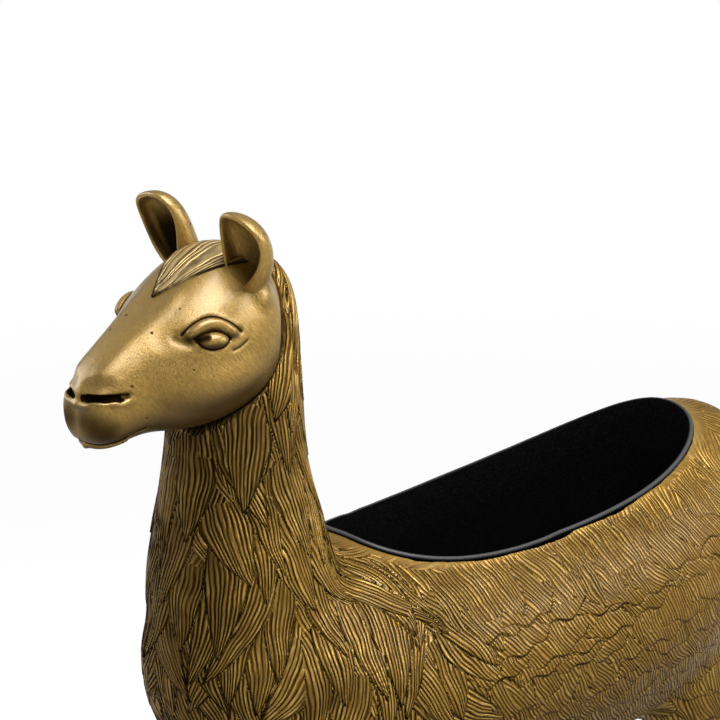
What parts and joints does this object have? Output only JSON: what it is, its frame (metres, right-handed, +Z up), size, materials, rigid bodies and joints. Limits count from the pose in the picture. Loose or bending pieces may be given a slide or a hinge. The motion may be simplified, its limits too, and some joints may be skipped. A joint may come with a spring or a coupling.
{
  "type": "animal shaped planter",
  "caption": "Standing llama figure in antique gold with carved fleece and a smooth face, hollow in the back to hold a black oval lift-out plant liner.",
  "frame": {"origin": "on the ground under the middle of the figure's length and width", "axes": "+Z up; the animal faces -X, and its left side is towards -Y"},
  "size_m": [0.4662, 0.1534, 0.5016],
  "materials": {
    "antique_gold": "cast resin with a brushed antique gold metallic lacquer and a dark brown patina in the grooves",
    "black_liner": "smooth black with a satin rolled rim",
    "felt": "dark felt",
    "dowel_steel": "plain steel"
  },
  "bodies": {
    "figure": {"torso_shell": "antique_gold", "neck": "antique_gold", "head": "antique_gold", "left_ear": "antique_gold", "right_ear": "antique_gold", "tail": "antique_gold", "front_left_leg": "antique_gold", "front_right_leg": "antique_gold", "rear_left_leg": "antique_gold", "rear_right_leg": "antique_gold", "head_dowel": "dowel_steel", "front_left_leg_dowel": "dowel_steel", "front_right_leg_dowel": "dowel_steel", "rear_left_leg_dowel": "dowel_steel", "rear_right_leg_dowel": "dowel_steel", "front_left_foot_pad": "felt", "front_right_foot_pad": "felt", "rear_left_foot_pad": "felt", "rear_right_foot_pad": "felt"},
    "liner": {"planter_liner": "black_liner"}
  },
  "joints": [
    {"name": "liner_lift", "type": "slide", "parent": "figure", "child": "liner", "axis": [0, 0, 1], "range_m": [0, 0.16]}
  ]
}
